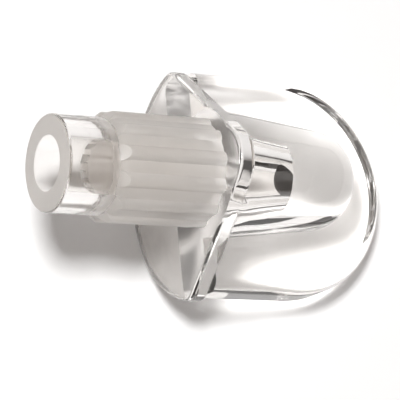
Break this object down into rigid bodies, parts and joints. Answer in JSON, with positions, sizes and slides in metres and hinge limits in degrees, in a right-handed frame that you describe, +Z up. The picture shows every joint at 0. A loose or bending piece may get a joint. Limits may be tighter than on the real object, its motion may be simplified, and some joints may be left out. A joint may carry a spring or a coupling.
{
  "type": "shelf support pin",
  "caption": "Clear moulded plastic shelf support with a hollow ribbed pin, a shield-shaped flange and a round-ended tongue stiffened by a bullet-shaped nib.",
  "frame": {"origin": "on the pin's axis, in the plane of the flange face that meets the cabinet side", "axes": "+Z up as the support lies unheld, upside down on the flange's round edge and the tongue's end; +X from the pin towards the tongue's end, over the ground; Y across the tongue"},
  "size_m": [0.0229, 0.0144, 0.0145],
  "materials": {
    "clear_plastic": "clear polycarbonate, moulded gloss, with hazier ribs"
  },
  "bodies": {
    "root": {"shelf_support": "clear_plastic"}
  },
  "joints": []
}
